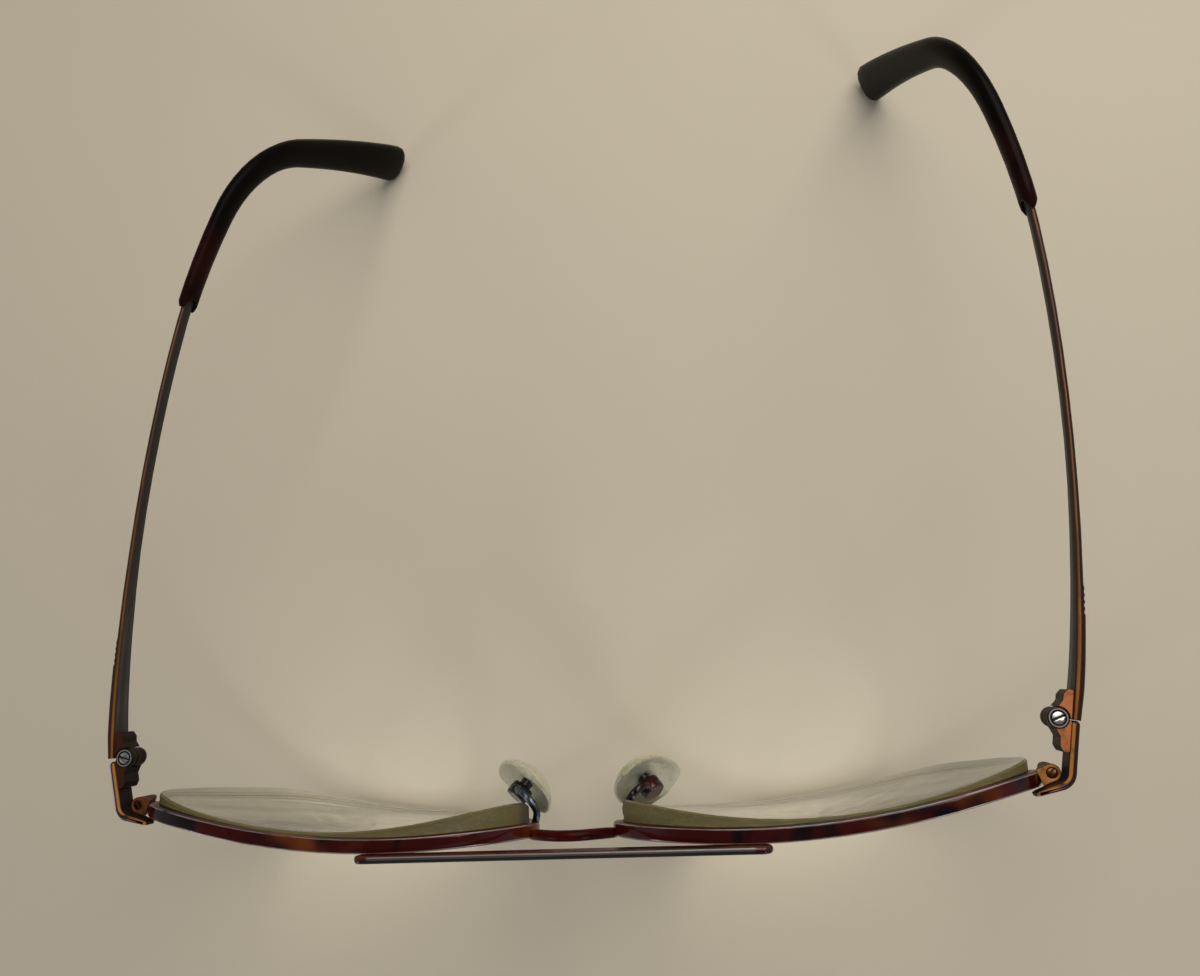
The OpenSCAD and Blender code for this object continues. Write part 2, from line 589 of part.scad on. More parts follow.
module nose_pad() {
    color("#cfd3c4") at_pad() difference() {
        skin([for (i = [-6 : 6]) pad_ring(sin(i * 15) * 0.985)]);
        pad_pocket(0.02);
        translate([pad_out - 1, 0, 0]) rotate([0, 90, 0]) cylinder(r = plate_r + 0.02, h = 1.1, $fn = curve_fn);
    }
}

// Arm of the nose pad: round wire from the back of the rim that curls over into the box's top
arm_sides = 10;
arm_steps = 3;
arm_root = rim_point(7.45, -seat_play - rim_h / 2 - 0.1, rim_depth / 2 - 0.1);
arm_end = pivot + pad_top * (box_r - 0.15) - pad_face * 0.3;
arm_in = arm_end + pad_top * 1.5;
arm_line = [arm_root, arm_root + [-0.35, 1.7, 0.4], mix(arm_root, arm_in, 0.65) + [-0.55, 0.7, 0.9], arm_in, arm_end];
function arm_at(t) = let (l = arm_line, n = len(l) - 1, i = min(n - 1, floor(t)))
    blend(l[max(0, i - 1)], l[i], l[i + 1], l[min(n, i + 2)], t - i);
function arm_ring(t) = let (n = len(arm_line) - 1, d = unit(arm_at(min(n, t + 0.05)) - arm_at(max(0, t - 0.05))),
    u = unit(cross(d, [1, 0.2, 0])), v = cross(d, u))
    [for (j = [0 : arm_sides - 1]) let (a = j * 360 / arm_sides) arm_at(t) + arm_r * (u * sin(a) + v * cos(a))];
module pad_arm() {
    color("#6d7f8c") skin([for (t = [0 : len(arm_line) * arm_steps - arm_steps]) arm_ring(t / arm_steps)]);
}

placed() rim();  // rim_left
placed() right_side() rim();  // rim_right
placed() lens();  // lens_left
placed() right_side() lens();  // lens_right
placed() brow_bar();
placed() bridge();
placed() closing_block_upper();  // closing_block_upper_left
placed() right_side() closing_block_upper();  // closing_block_upper_right
placed() closing_block_lower();  // closing_block_lower_left
placed() right_side() closing_block_lower();  // closing_block_lower_right
placed() lock_screw();  // lock_screw_left
placed() right_side() lock_screw();  // lock_screw_right
placed() turned(0) endpiece();  // endpiece_left
placed() right_side() turned(0) endpiece();  // endpiece_right
placed() turned(0) hinge_front();  // hinge_front_left
placed() right_side() turned(0) hinge_front();  // hinge_front_right
placed() hinge_screw();  // hinge_screw_left
placed() right_side() hinge_screw();  // hinge_screw_right
placed() turned(0) hinge_rear();  // hinge_rear_left
placed() right_side() turned(right_fold) hinge_rear();  // hinge_rear_right
placed() turned(0) temple();  // temple_left
placed() right_side() turned(right_fold) temple();  // temple_right
placed() turned(0) temple_tip();  // temple_tip_left
placed() right_side() turned(right_fold) temple_tip();  // temple_tip_right
placed() pad_arm();  // pad_arm_left
placed() right_side() pad_arm();  // pad_arm_right
placed() pad_box();  // pad_box_left
placed() right_side() pad_box();  // pad_box_right
placed() pad_screw();  // pad_screw_left
placed() right_side() pad_screw();  // pad_screw_right
placed() pad_stud();  // pad_stud_left
placed() right_side() pad_stud();  // pad_stud_right
placed() nose_pad();  // nose_pad_left
placed() right_side() nose_pad();  // nose_pad_right
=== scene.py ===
"""Finishes a spectacle frame and sets its table, lamps and camera.

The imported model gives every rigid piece. The rubber of the nose pads is made here. The rest gets
its rounded edges, lacquer, copper, steel, glass and dirt here. Lengths are in metres.
"""

import json
import math

import bpy
from mathutils import Matrix, Vector


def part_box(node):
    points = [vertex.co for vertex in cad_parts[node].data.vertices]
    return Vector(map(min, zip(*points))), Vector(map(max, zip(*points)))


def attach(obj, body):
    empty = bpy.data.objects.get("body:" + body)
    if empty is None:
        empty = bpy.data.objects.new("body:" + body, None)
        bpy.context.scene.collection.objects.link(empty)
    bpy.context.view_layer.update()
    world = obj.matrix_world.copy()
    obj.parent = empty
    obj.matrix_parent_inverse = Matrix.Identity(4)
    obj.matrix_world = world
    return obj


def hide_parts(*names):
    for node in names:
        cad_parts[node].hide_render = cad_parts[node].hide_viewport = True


bl_info = {
    "name": "Spectacle Frame Finish",
    "version": (1, 0, 0),
    "blender": (4, 5, 0),
    "location": "3D View > Sidebar > Spectacles",
    "description": "Finishes a spectacle frame: lacquer, copper hinges, lenses, pads and sleeves",
    "category": "Object",
}

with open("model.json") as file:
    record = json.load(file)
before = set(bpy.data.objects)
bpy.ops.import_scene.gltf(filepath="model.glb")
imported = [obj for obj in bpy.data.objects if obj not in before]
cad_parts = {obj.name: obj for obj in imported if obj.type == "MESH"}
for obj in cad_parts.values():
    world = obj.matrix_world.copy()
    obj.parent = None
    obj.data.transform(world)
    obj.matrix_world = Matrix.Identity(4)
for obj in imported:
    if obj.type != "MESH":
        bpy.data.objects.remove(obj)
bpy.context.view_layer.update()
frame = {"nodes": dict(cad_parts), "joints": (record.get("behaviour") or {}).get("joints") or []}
JOINTS = {joint["name"]: joint for joint in frame["joints"]}
SIDES = {"left": 1.0, "right": -1.0}

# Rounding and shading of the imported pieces
WELD_GAP = 2e-6
FLAT_TURN = math.radians(1)
SHARP_TURN = math.radians(34)
SMOOTH_BELOW = 32
ROUND_BELOW = 60

# Depth of the grain that every metal piece has
FINE_GRAIN = 0.000005
GRAIN = 0.000008

# Brow bar: its plain ends, and where its zones lie in shares of its depth from the front
BAR_END = 0.0021
BAR_RIDGE = 0.74
BAR_FRONT = (0.50, 0.42)

# Bent strips and hinge leaves: how far their outer faces turn back from straight out. The lap of a
# strip passes into its leg between two distances from its outermost point.
STRIP_TURN = math.radians(11.4)
LEAF_TURN = 0.2
LAP_TO_LEG = (0.0046, 0.0030)

# Screw heads: radius, and depth over which painted shade darkens the slot
LOCK_HEAD = (0.0006, 0.00022)
HINGE_HEAD = (0.0008, 0.00025)

# Rings round a hinge screw: where the knuckle's bronze ends, and the bright ring in it
KNUCKLE_RING = (0.00138, 0.00130)
BRIGHT_RING = (0.00102, 0.00114)
RING_BLUR = 0.00004

# How far colours reach: copper from the hinge, red from the sleeve's mouth, olive above the table
COPPER_REACH = (0.030, 0.004)
MOUTH_REACH = (0.022, 0.004)
END_REACH = (0.012, 0.001)

# Mesh of a nose pad's rubber: its rings, their points, and how near the last ring is to the tip
PAD_RINGS = 34
PAD_SIDES = 48
PAD_TIP = 0.992

# Shape of that rubber: powers of its outline and section, how far it narrows upwards and thins
# towards both tips, and the place and spread of its hollow and collar
PAD_OUTLINE = 2.6
PAD_SECTION = 0.85
PAD_TAPER = 0.12
PAD_THINNING = 0.45
PAD_HOLLOW = (0.72, 0.03)
PAD_COLLAR = (0.30, 0.012)

# Share of light that the rubber lets through, where it is clear and where it is milky or stained
PAD_CLEAR = (0.38, 0.10)

# Sizes of patches: smears on glass, clouds in sleeves, streaks and stains in rubber, table top
SMEAR = 0.006
SLEEVE_CLOUD = 0.004
PAD_STREAK = 0.0016
PAD_STAIN = 0.0009
TABLE_CLOUD = 0.09
TABLE_GRAIN = 0.0015

# Depths of the grain of sleeves, rubber and table
SLEEVE_DEPTH = 0.00001
PAD_DEPTH = 0.00002
TABLE_DEPTH = 0.00003

# Bare metal of the right pad's arm, and grey wear on its black box
WORN_ARM = (0.13, 0.165, 0.19)
WORN_BOX = (0.03, 0.035, 0.035)

# Lamps: their places, what they point at, sizes and tints
WINDOW_PLACE = (0.12, 0.20, 0.40)
WINDOW_AIM = (0.0, 0.02, 0.0)
SIDE_PLACE = (-0.75, -0.62, 0.42)
FRONT_PLACE = (0.45, -0.75, 0.50)
FILLER_AIM = (0.0, -0.05, 0.03)
WINDOW_SIZE = 0.40
FILLER_SIZE = 0.22
WARM = (1.0, 0.94, 0.86)
COOL = (0.86, 0.90, 1.0)

# Room: how far up its light passes from bright to dim, and its tints in front and behind
ROOM_RISE = (0.50, 0.88)
ROOM_COOL = (0.93, 0.93, 1.0, 1.0)
ROOM_WARM = (1.0, 0.93, 0.82, 1.0)


def colour(name, description, value):
    """A colour property with its default."""
    return bpy.props.FloatVectorProperty(
        name=name,
        description=description,
        default=value,
        size=3,
        min=0.0,
        max=1.0,
        subtype="COLOR",
    )


def length(name, description, value):
    """A length property, in metres."""
    return bpy.props.FloatProperty(
        name=name,
        description=description,
        default=value,
        min=0.0,
        unit="LENGTH",
        subtype="DISTANCE",
        precision=6,
    )


def share(name, description, value):
    """A property from 0 to 1."""
    return bpy.props.FloatProperty(
        name=name,
        description=description,
        default=value,
        min=0.0,
        max=1.0,
        subtype="FACTOR",
    )


def angle(name, description, degrees):
    """An angle property, with its default in degrees."""
    return bpy.props.FloatProperty(
        name=name,
        description=description,
        default=math.radians(degrees),
        unit="ROTATION",
        subtype="ANGLE",
    )


def number(name, description, value):
    """A plain number property."""
    return bpy.props.FloatProperty(
        name=name, description=description, default=value, min=0.0
    )


class SpectacleColours(bpy.types.PropertyGroup):
    """Colours of the finishes."""

    lacquer: colour("Lacquer", "Dark red of the rims and bars", (0.048, 0.004, 0.003))
    lacquer_deep: colour(
        "Deep lacquer", "Where the lacquer is almost black", (0.006, 0.002, 0.003)
    )
    lacquer_amber: colour("Amber lacquer", "Brown patches in the lacquer", (0.15, 0.036, 0.008))
    # Worn nickel, also laid on as a painted highlight along the rounded upper edges
    worn: colour("Worn edge", "Nickel under the lacquer's edges", (0.27, 0.235, 0.24))
    # Painted reflection of the room on the brow bar's upper face
    bar_top_reflection: colour("Bar top", "Grey of the brow bar's upper face", (0.090, 0.084, 0.074))
    copper: colour("Copper", "Upper faces of the left hinge", (0.54, 0.18, 0.060))
    copper_gold: colour("Gold copper", "Ridge of the bent strips", (0.46, 0.20, 0.045))
    # Tarnish; in the lock screws' slots the same colour is painted shade
    copper_dark: colour("Dark copper", "Tarnish on the copper", (0.075, 0.022, 0.010))
    bronze: colour("Bronze", "Walls of the hinge leaves", (0.016, 0.010, 0.008))
    strip_edge: colour(
        "Strip's outer corner", "Dark red brown of the strips", (0.035, 0.012, 0.008)
    )
    # Painted silver reflection of the side window on the right strip's outer face
    strip_out_reflection: colour(
        "Strip's outside", "Bare outer edge of the right strip", (0.62, 0.58, 0.62)
    )
    steel: colour("Steel", "Heads of the hinge screws", (0.86, 0.85, 0.82))
    # Painted shade in the screw slots, and the dark joint round the heads
    steel_dark: colour("Dark steel", "Dirt in the screw slots", (0.010, 0.008, 0.007))
    temple: colour("Temple", "Inner wall of the temples", (0.085, 0.075, 0.070))
    temple_top: colour("Temple top", "Upper edge of the temples", (0.060, 0.028, 0.017))
    stripe: colour("Stripe", "Copper line on that edge", (0.30, 0.12, 0.025))
    sleeve: colour("Sleeve", "Near black brown of the tips", (0.0035, 0.0025, 0.0025))
    sleeve_mouth: colour("Sleeve mouth", "Red brown by the mouth", (0.022, 0.005, 0.003))
    sleeve_end: colour("Sleeve end", "Olive grey rounded end", (0.009, 0.008, 0.005))
    pad: colour("Pad", "Clear rubber of the nose pads", (0.57, 0.56, 0.38))
    pad_haze: colour("Pad haze", "Milky streaks in the rubber", (0.37, 0.35, 0.21))
    pad_stain: colour("Pad stain", "Brown dirt in the rubber", (0.16, 0.075, 0.02))
    glass: colour("Glass", "Tint of the lenses", (0.99, 0.99, 0.975))
    glass_edge: colour("Glass edge", "Ground edge of the lenses", (0.155, 0.130, 0.045))
    glass_foot: colour("Glass foot", "Its shaded lower parts", (0.030, 0.019, 0.008))
    # Painted light: a lighter copy of the ground edge for where it is seen from inside the glass
    glass_inside_light: colour(
        "Glass inside", "The ground edge seen through the glass", (0.30, 0.27, 0.18)
    )
    dust: colour("Dust", "Specks on the lens edges", (0.05, 0.04, 0.028))
    table: colour("Table", "Pale beige of the floor", (0.680, 0.614, 0.473))


class SpectacleWear(bpy.types.PropertyGroup):
    """Sizes of the rounding, the grain and the dirt."""

    edge: length("Edge rounding", "Radius on the small metal pieces", 0.0001)
    strip_edge: length("Strip rounding", "Radius on strips and bars", 0.0004)
    rim_edge: length("Rim rounding", "Extra rounding of the rim wire", 0.00022)
    chamfer: length("Lens chamfer", "Width of the ground corners of a lens", 0.0003)
    grain: length("Grain", "Size of the finest marks", 0.00012)
    mottle: length("Mottle", "Size of the patches in copper", 0.0016)
    tortoise: length("Tortoise", "Size of the patches in the lacquer", 0.0075)
    tarnish: share("Tarnish", "How much of the copper is dark", 0.45)
    specks: share("Specks", "How much of the lens edge is dusty", 0.35)


class SpectaclePads(bpy.types.PropertyGroup):
    """Shape of the nose pads' rubber."""

    height: length("Height", "Longer way across a pad", 0.015)
    width: length("Width", "Shorter way across a pad", 0.0098)
    thickness: length("Thickness", "Through the middle of a pad", 0.002)
    bow: length("Bow", "How far a pad's rim falls behind its middle", 0.0018)
    reach: length("Reach", "From the pad screw to the back of the rubber", 0.0021057)
    splay: angle("Splay", "Turn of a pad from straight back", 50.0)
    tilt: angle("Tilt", "Lean of a pad out of upright", 24.0)
    boss: length("Boss", "Height of the collar round the stud", 0.00022)
    dish: length("Dish", "Depth of the hollow behind the rim", 0.00016)


class SpectacleStage(bpy.types.PropertyGroup):
    """The table, the lamps and the camera."""

    camera_place: bpy.props.FloatVectorProperty(
        name="Camera place",
        description="Where the camera hangs over the table",
        default=(0.024921, -0.042661, 0.1678),
        size=3,
        unit="LENGTH",
        subtype="TRANSLATION",
        precision=6,
    )
    camera_forward: bpy.props.FloatVectorProperty(
        name="Camera forward",
        description="The way that the camera looks",
        default=(-0.14627, 0.19873, -0.96908),
        size=3,
        subtype="DIRECTION",
        precision=6,
    )
    camera_up: bpy.props.FloatVectorProperty(
        name="Camera up",
        description="The way that is up in the picture",
        default=(0.07998, 0.97878, 0.18865),
        size=3,
        subtype="DIRECTION",
        precision=6,
    )
    focal: number("Focal length", "Of the camera, in millimetres", 29.196)
    table_side: length("Table side", "Width and depth of the floor", 3.0)
    window: number("Window", "Power of the large soft lamp, in watts", 1.42)
    filler: number("Side windows", "Power of each lamp that stands to the side, in watts", 1.0)
    room: number("Room", "Strength of the light from all round", 0.31)
    overhead: share("Overhead", "Share of that light that comes from straight above", 0.25)


class SpectacleSettings(bpy.types.PropertyGroup):
    """All settings of the spectacle frame."""

    colours: bpy.props.PointerProperty(name="Colours", type=SpectacleColours)
    wear: bpy.props.PointerProperty(name="Wear", type=SpectacleWear)
    pads: bpy.props.PointerProperty(name="Nose pads", type=SpectaclePads)
    stage: bpy.props.PointerProperty(name="Stage", type=SpectacleStage)


def settings():
    """The scene's spectacle settings."""
    return bpy.context.scene.spectacles


class Finish:
    """A procedural material that is built up a node at a time."""

    def __init__(self, name, **values):
        self.material = bpy.data.materials.new(name)
        self.material.use_nodes = True
        self.nodes = self.material.node_tree.nodes
        self.links = self.material.node_tree.links
        self.shader = self.nodes["Principled BSDF"]
        for socket, value in values.items():
            self.feed(self.shader.inputs[socket.replace("_", " ")], value)
        where = self.nodes.new("ShaderNodeTexCoord")
        self.place = where.outputs["Object"]
        self.facing = where.outputs["Normal"]

    def feed(self, socket, value):
        """Links or sets one input."""
        if isinstance(value, bpy.types.NodeSocket):
            self.links.new(value, socket)
        elif socket.type == "RGBA":
            socket.default_value = (*value[:3], 1.0)
        else:
            socket.default_value = value

    def node(self, kind, inputs, output=0, **values):
        """A new node, and the output that is wanted of it."""
        made = self.nodes.new("ShaderNode" + kind)
        for name, value in values.items():
            setattr(made, name, value)
        for name, value in inputs.items():
            self.feed(made.inputs[name], value)
        return made.outputs[output]

    def maths(self, operation, first, second=0.5):
        """A sum on one or two values."""
        return self.node("Math", {0: first, 1: second}, operation=operation)

    def noise(self, size, detail=3.0, stretch=(1, 1, 1), warp=0.0, seed=0.0):
        """Soft noise whose patches are about size across, in metres."""
        place = self.node(
            "Mapping",
            {
                "Vector": self.place,
                "Scale": tuple(1 / (size * s) for s in stretch),
                "Location": (seed, seed * 0.7, seed * 0.3),
            },
        )
        return self.node(
            "TexNoise",
            {"Vector": place, "Scale": 1.0, "Detail": detail, "Distortion": warp},
        )

    def grades(self, value, low, high, smooth=True):
        """0 where value is under low, 1 where it is over high."""
        return self.node(
            "MapRange",
            {"Value": value, "From Min": low, "From Max": high},
            interpolation_type="SMOOTHSTEP" if smooth else "LINEAR",
        )

    def between(self, factor, first, second):
        """A colour from first, at 0, to second, at 1."""
        return self.node(
            "Mix", {0: factor, 6: first, 7: second}, output=2, data_type="RGBA"
        )

    def towards(self, direction):
        """How far the surface faces a direction, from -1 to 1."""
        return self.node(
            "VectorMath",
            {0: self.facing, 1: direction},
            output="Value",
            operation="DOT_PRODUCT",
        )

    def from_point(self, point):
        """Distance from a point of the piece at rest."""
        return self.node(
            "VectorMath", {0: self.place, 1: point}, output="Value", operation="DISTANCE"
        )

    def height(self):
        """Height above the table, of the piece at rest."""
        return self.node("SeparateXYZ", {0: self.place}, output="Z")

    def from_axis(self, point):
        """Distance from an upright line through a point, of the piece at rest."""
        away = self.node("VectorMath", {0: self.place, 1: point}, operation="SUBTRACT")
        flat = self.node("VectorMath", {0: away, 1: (1, 1, 0)}, operation="MULTIPLY")
        return self.node("VectorMath", {0: flat}, output="Value", operation="LENGTH")

    def within(self, value, low, high, soft):
        """1 where value lies between low and high, falling off over soft at both ends."""
        return self.maths(
            "MULTIPLY",
            self.grades(value, low - soft, low + soft),
            self.grades(value, high + soft, high - soft),
        )

    def paint(self, value):
        """The surface's colour."""
        self.feed(self.shader.inputs["Base Color"], value)

    def rough(self, value, low, high):
        """Roughness from low to high with value."""
        made = self.node("MapRange", {"Value": value, "To Min": low, "To Max": high})
        self.feed(self.shader.inputs["Roughness"], made)

    def emboss(self, height, depth, strength=0.6):
        """Raises the surface by height times depth."""
        made = self.node(
            "Bump", {"Height": height, "Distance": depth, "Strength": strength}
        )
        self.feed(self.shader.inputs["Normal"], made)


def smooth_shading(limit):
    """Node group that shades a piece smoothly, but keeps edges over limit degrees sharp."""
    name = f"soft_shading_{limit}"
    group = bpy.data.node_groups.get(name)
    if group:
        return group
    group = bpy.data.node_groups.new(name, "GeometryNodeTree")
    group.interface.new_socket("Geometry", in_out="INPUT", socket_type="NodeSocketGeometry")
    group.interface.new_socket("Geometry", in_out="OUTPUT", socket_type="NodeSocketGeometry")
    nodes, links = group.nodes, group.links
    given = nodes.new("NodeGroupInput")
    result = nodes.new("NodeGroupOutput")
    bare = nodes.new("GeometryNodeRemoveAttribute")
    bare.inputs["Name"].default_value = "custom_normal"
    turn = nodes.new("GeometryNodeInputMeshEdgeAngle")
    soft = nodes.new("FunctionNodeCompare")
    soft.data_type = "FLOAT"
    soft.operation = "LESS_THAN"
    soft.inputs["B"].default_value = math.radians(limit)
    faces = nodes.new("GeometryNodeSetShadeSmooth")
    faces.domain = "FACE"
    edges = nodes.new("GeometryNodeSetShadeSmooth")
    edges.domain = "EDGE"
    links.new(given.outputs["Geometry"], bare.inputs["Geometry"])
    links.new(bare.outputs["Geometry"], faces.inputs["Geometry"])
    links.new(faces.outputs["Geometry"], edges.inputs["Geometry"])
    links.new(turn.outputs["Unsigned Angle"], soft.inputs["A"])
    links.new(soft.outputs["Result"], edges.inputs["Shade Smooth"])
    links.new(edges.outputs["Geometry"], result.inputs["Geometry"])
    return group


def soften(node, radius=0.0, steps=2, fine=False, limit=SMOOTH_BELOW):
    """Joins a CAD node's faces, rounds its edges by radius and shades it smoothly under limit.

    A fine piece keeps all its small faces, and its rounding gives way to them.
    """
    piece = frame["nodes"][node]
    weld = piece.modifiers.new("join_faces", "WELD")
    weld.merge_threshold = WELD_GAP
    if radius > 0:
        if not fine:
            flat = piece.modifiers.new("flat_faces", "DECIMATE")
            flat.decimate_type = "DISSOLVE"
            flat.angle_limit = FLAT_TURN
        bevel = piece.modifiers.new("round_edges", "BEVEL")
        bevel.width = radius
        bevel.segments = steps
        bevel.limit_method = "ANGLE"
        bevel.angle_limit = SHARP_TURN
        bevel.miter_outer = "MITER_ARC"
        bevel.use_clamp_overlap = fine
    shade = piece.modifiers.new("shading", "NODES")
    shade.node_group = smooth_shading(limit)
    if radius > 0:
        even = piece.modifiers.new("even_normals", "WEIGHTED_NORMAL")
        even.mode = "FACE_AREA"
        even.weight = 90
        even.keep_sharp = True


def dress(node, finish):
    """Gives a CAD node its finish."""
    materials = frame["nodes"][node].data.materials
    materials.clear()
    materials.append(finish.material)


def outward(side, turn=0.0):
    """The way out from the wearer's head on one side, turned back by an angle."""
    way = Matrix.Rotation(turn * SIDES[side], 3, "Z") @ Vector((SIDES[side], 0, 0))
    return tuple(way)


def lacquer_finish(name, bar=None, amber=0.5, worn=1.0, gloss=0.6):
    """Tortoise lacquer over bright metal: dark red with brown and black patches, worn on its edges.
    The pale lines on its upper rounded edges are worn nickel in part and painted highlight in part.

    A bar, given by its node, has a black front, a painted grey reflection on its top, and a bright
    ridge behind it that is worn in part and painted highlight in part.
    """
    tints, wear = settings().colours, settings().wear
    finish = Finish(
        name,
        Metallic=0.1,
        Coat_Roughness=0.06,
        Coat_IOR=1.55,
        Specular_IOR_Level=0.06,
    )
    patches = finish.noise(wear.tortoise, 3.0, warp=0.6, seed=3.0)
    brown = finish.grades(
        finish.noise(wear.tortoise * 1.3, 2.0, seed=21.0), 0.64 - amber * 0.2, 0.72
    )
    tone = finish.between(finish.grades(patches, 0.40, 0.54), tints.lacquer_deep, tints.lacquer)
    tone = finish.between(brown, tone, tints.lacquer_amber)
    up = finish.towards((0, 0, 1))
    back = finish.towards((0, 1, 0))
    seen = finish.grades(up, 0.05, 0.40)
    # Pale lines on the rounded edges that face up: worn nickel in part, painted highlight in part
    corner = finish.within(finish.maths("ABSOLUTE", back), 0.30, 0.74, 0.07)
    patchy = finish.grades(finish.noise(wear.tortoise * 0.5, 4.0, seed=9.0), 0.20, 0.60)
    line = finish.maths("MULTIPLY", finish.maths("MULTIPLY", corner, seen), patchy)
    tone = finish.between(finish.maths("MULTIPLY", line, worn), tone, tints.worn)
    if bar:
        low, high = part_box(bar)
        depth = high.y - low.y
        along = finish.node("SeparateXYZ", {0: finish.place}, output="X")
        across = finish.node("SeparateXYZ", {0: finish.place}, output="Y")
        # Painted grey reflection on the bar's upper face, and a pale line at its rear ridge that is
        # worn in part and painted highlight in part
        uneven = finish.grades(finish.noise(wear.mottle, 4.0, (4, 1, 1), seed=9.0), 0.2, 0.8)
        grey = finish.between(uneven, tuple(c * 0.7 for c in tints.bar_top_reflection), tints.bar_top_reflection)
        ridge = low.y + depth * BAR_RIDGE
        top = finish.between(finish.grades(across, ridge - depth * 0.03, ridge), grey, tints.worn)
        flat = finish.maths(
            "MULTIPLY",
            finish.within(along, low.x + BAR_END, high.x - BAR_END, 0.0003),
            finish.grades(across, ridge + depth * 0.13, ridge + depth * 0.10),
        )
        flat = finish.maths("MULTIPLY", flat, finish.grades(up, 0.3, 0.5))
        tone = finish.between(flat, tone, top)
        front = finish.grades(across, *(low.y + depth * part for part in BAR_FRONT))
        tone = finish.between(finish.maths("MULTIPLY", front, 0.85), tone, tints.lacquer_deep)
    finish.paint(tone)
    finish.feed(finish.shader.inputs["Coat Weight"], finish.maths("MULTIPLY", seen, gloss))
    fine = finish.noise(wear.grain, 5.0)
    finish.rough(patches, 0.18, 0.32)
    finish.emboss(fine, FINE_GRAIN, 0.3)
    return finish


def copper_finish(name, top, wall, side, turn=0.0, tarnish=None, outer=None, rim=None):
    """Copper coloured lacquer on upper faces, with dark walls and tarnish in patches.

    Outer is the colour of the outward wall, which on the right strip is a painted silver
    reflection.
    Rim is for the bent strips alone: it is the colour of the outer half of their leg.
    """
    tints, wear = settings().colours, settings().wear
    finish = Finish(name, Coat_Roughness=0.25, Specular_IOR_Level=0.06)
    patches = finish.noise(wear.mottle, 4.0, warp=0.5, seed=5.0)
    amount = wear.tarnish if tarnish is None else tarnish
    spots = finish.grades(patches, 0.70 - amount * 0.5, 0.25)
    upper = finish.between(
        finish.maths("MULTIPLY", spots, 0.7), top, tints.copper_dark
    )
    facing = finish.towards((0, 0, 1))
    up = finish.grades(facing, 0.80, 0.97)
    way = finish.towards(outward(side, turn))
    tone = finish.between(finish.grades(facing, 0.25, 0.75), wall, tints.copper_dark)
    tone = finish.between(up, tone, upper)
    if rim:
        inner = finish.maths(
            "MULTIPLY", finish.grades(way, -0.04, -0.12), finish.grades(facing, 0.45, 0.7)
        )
        tone = finish.between(inner, tone, upper)
        low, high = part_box("endpiece_" + side)
        outermost = high.x if side == "left" else -low.x
        across = finish.node("SeparateXYZ", {0: finish.place}, output="X")
        lap, leg_start = LAP_TO_LEG
        leg = finish.grades(
            finish.maths("ABSOLUTE", across), outermost - lap, outermost - leg_start
        )
        dark = finish.maths(
            "MULTIPLY", finish.grades(way, -0.30, -0.06), finish.grades(facing, 0.2, 0.5)
        )
        dark = finish.maths("MULTIPLY", dark, leg)
        tone = finish.between(dark, tone, rim)
    # The outward wall: lacquer, and on the right strip a painted silver reflection
    out = finish.grades(way, 0.20, 0.32)
    tone = finish.between(out, tone, outer or tints.lacquer)
    finish.tone, finish.up = tone, up
    finish.paint(tone)
    coat = finish.maths("MULTIPLY", finish.grades(facing, 0.2, 0.6), 0.3)
    finish.feed(finish.shader.inputs["Coat Weight"], coat)
    finish.feed(finish.shader.inputs["Metallic"], finish.maths("MULTIPLY", up, 0.3))
    finish.rough(patches, 0.32, 0.52)
    finish.emboss(finish.noise(wear.grain, 4.0), GRAIN, 0.4)
    return finish


def steel_finish(name, bright):
    """Steel with fine lines and duller patches."""
    wear = settings().wear
    finish = Finish(name, Metallic=1.0)
    lines = finish.noise(wear.grain * 0.8, 4.0, stretch=(1, 1, 8))
    clean = finish.grades(finish.noise(wear.mottle * 0.35, 3.0, seed=11.0), 0.34, 0.62)
    finish.tone = finish.between(clean, tuple(c * 0.55 for c in bright), bright)
    finish.paint(finish.tone)
    finish.rough(lines, 0.16, 0.42)
    finish.emboss(lines, FINE_GRAIN, 0.5)
    return finish


def screw_finish(name, node, axis, bright, dark, head):
    """Steel screw head with painted shade in its slot and a dark ring where the head meets its
    seat.
    """
    radius, depth = head
    finish = steel_finish(name, bright)
    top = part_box(node)[1].z
    # Painted shade in the slot, deepening below the head's top
    slot_shade = finish.grades(finish.height(), top - depth * 0.15, top - depth * 0.35)
    ring = finish.grades(finish.from_axis(axis), radius * 0.90, radius * 0.95)
    shade = finish.maths("MAXIMUM", slot_shade, ring)
    finish.paint(finish.between(shade, finish.tone, dark))
    finish.feed(
        finish.shader.inputs["Metallic"],
        finish.node("MapRange", {"Value": shade, "To Min": 1.0, "To Max": 0.0}),
    )
    return finish


class SPECTACLES_OT_rims(bpy.types.Operator):
    """Lacquers both rims"""

    bl_idname = "spectacles.rims"
    bl_label = "Rims"

    def execute(self, context):
        finish = lacquer_finish("lacquered_wire")
        for side in SIDES:
            soften("rim_" + side, settings().wear.rim_edge, 3, True)
            dress("rim_" + side, finish)
        return {"FINISHED"}


class SPECTACLES_OT_bars(bpy.types.Operator):
    """Lacquers the bridge and the brow bar"""

    bl_idname = "spectacles.bars"
    bl_label = "Bridge and brow bar"

    def execute(self, context):
        soften("bridge", limit=ROUND_BELOW)
        dress("bridge", lacquer_finish("lacquered_bridge", amber=0.2, worn=0.0, gloss=0.0))
        soften("brow_bar", settings().wear.strip_edge, 3)
        dress("brow_bar", lacquer_finish("lacquered_bar", "brow_bar", 0.8, 0.0))
        return {"FINISHED"}


